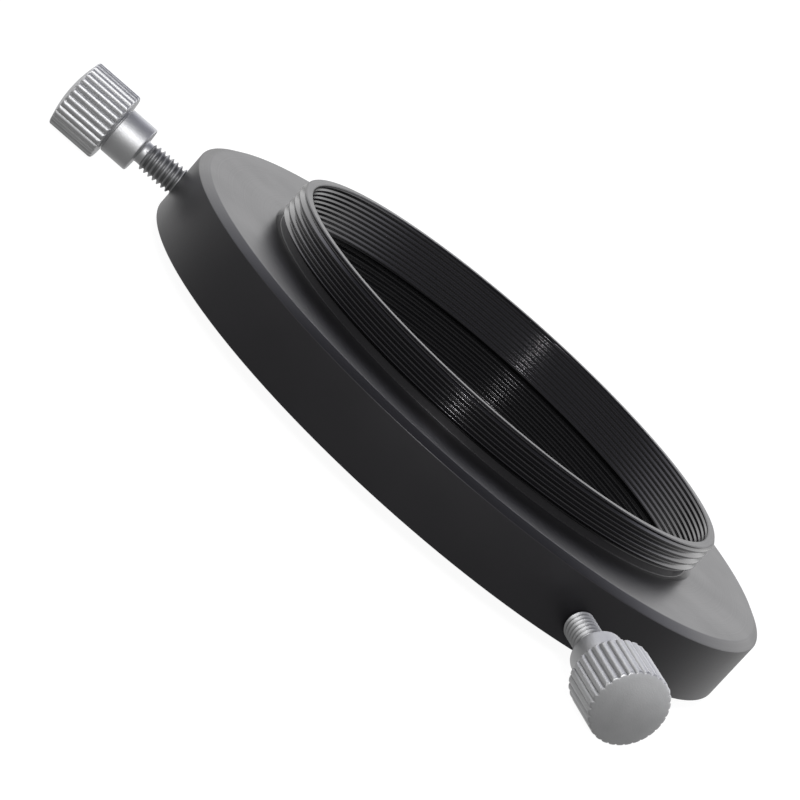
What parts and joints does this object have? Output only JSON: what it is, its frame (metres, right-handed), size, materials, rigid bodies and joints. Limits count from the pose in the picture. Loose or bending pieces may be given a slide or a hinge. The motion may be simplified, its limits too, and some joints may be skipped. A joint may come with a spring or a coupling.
{
  "type": "telescope rotation adapter",
  "caption": "Black threaded adapter ring with a male thread collar, a turning threaded insert and knurled silver locking thumbscrews.",
  "frame": {"origin": "on the optical axis, in the plane of the flange face that the collar stands on", "axes": "+Z along the optical axis towards the end of the male collar; -X along the second thumbscrew, the other two at 60 and 300 degrees from +X"},
  "size_m": [0.1097, 0.1138, 0.016],
  "materials": {
    "ring_anodised": "turned, black anodised, satin",
    "insert_anodised": "turned, black anodised, satin",
    "screw_steel": "satin, straight knurl",
    "tip_nylon": "natural nylon"
  },
  "bodies": {
    "outer_ring": {"outer_ring": "ring_anodised"},
    "threaded_insert": {"threaded_insert": "insert_anodised"},
    "tip_1": {"nylon_tip_1": "tip_nylon"},
    "screw_1": {"thumbscrew_1": "screw_steel"},
    "tip_2": {"nylon_tip_2": "tip_nylon"},
    "screw_2": {"thumbscrew_2": "screw_steel"},
    "tip_3": {"nylon_tip_3": "tip_nylon"},
    "screw_3": {"thumbscrew_3": "screw_steel"}
  },
  "joints": [
    {"name": "insert_rotation", "type": "hinge", "parent": "outer_ring", "child": "threaded_insert", "pos_m": [0, 0, -0.005], "axis": [0, 0, 1], "continuous": true},
    {"name": "screw_1_travel", "type": "slide", "parent": "outer_ring", "child": "tip_1", "axis": [0.5, 0.866, 0], "range_m": [-0.00017, 0.0049]},
    {"name": "screw_1_turn", "type": "hinge", "parent": "tip_1", "child": "screw_1", "pos_m": [0.023, 0.03984, -0.0059], "axis": [0.5, 0.866, 0], "range_deg": [-91, 2521]},
    {"name": "screw_2_travel", "type": "slide", "parent": "outer_ring", "child": "tip_2", "axis": [-1, 0, 0], "range_m": [-0.00017, 0.0049]},
    {"name": "screw_2_turn", "type": "hinge", "parent": "tip_2", "child": "screw_2", "pos_m": [-0.046, 0, -0.0059], "axis": [-1, 0, 0], "range_deg": [-91, 2521]},
    {"name": "screw_3_travel", "type": "slide", "parent": "outer_ring", "child": "tip_3", "axis": [0.5, -0.866, 0], "range_m": [-0.00017, 0.0049]},
    {"name": "screw_3_turn", "type": "hinge", "parent": "tip_3", "child": "screw_3", "pos_m": [0.023, -0.03984, -0.0059], "axis": [0.5, -0.866, 0], "range_deg": [-91, 2521]}
  ],
  "couplings": [
    {"joint": "screw_1_turn", "follows": "screw_1_travel", "rad_per_m": 8976},
    {"joint": "screw_2_turn", "follows": "screw_2_travel", "rad_per_m": 8976},
    {"joint": "screw_3_turn", "follows": "screw_3_travel", "rad_per_m": 8976}
  ]
}
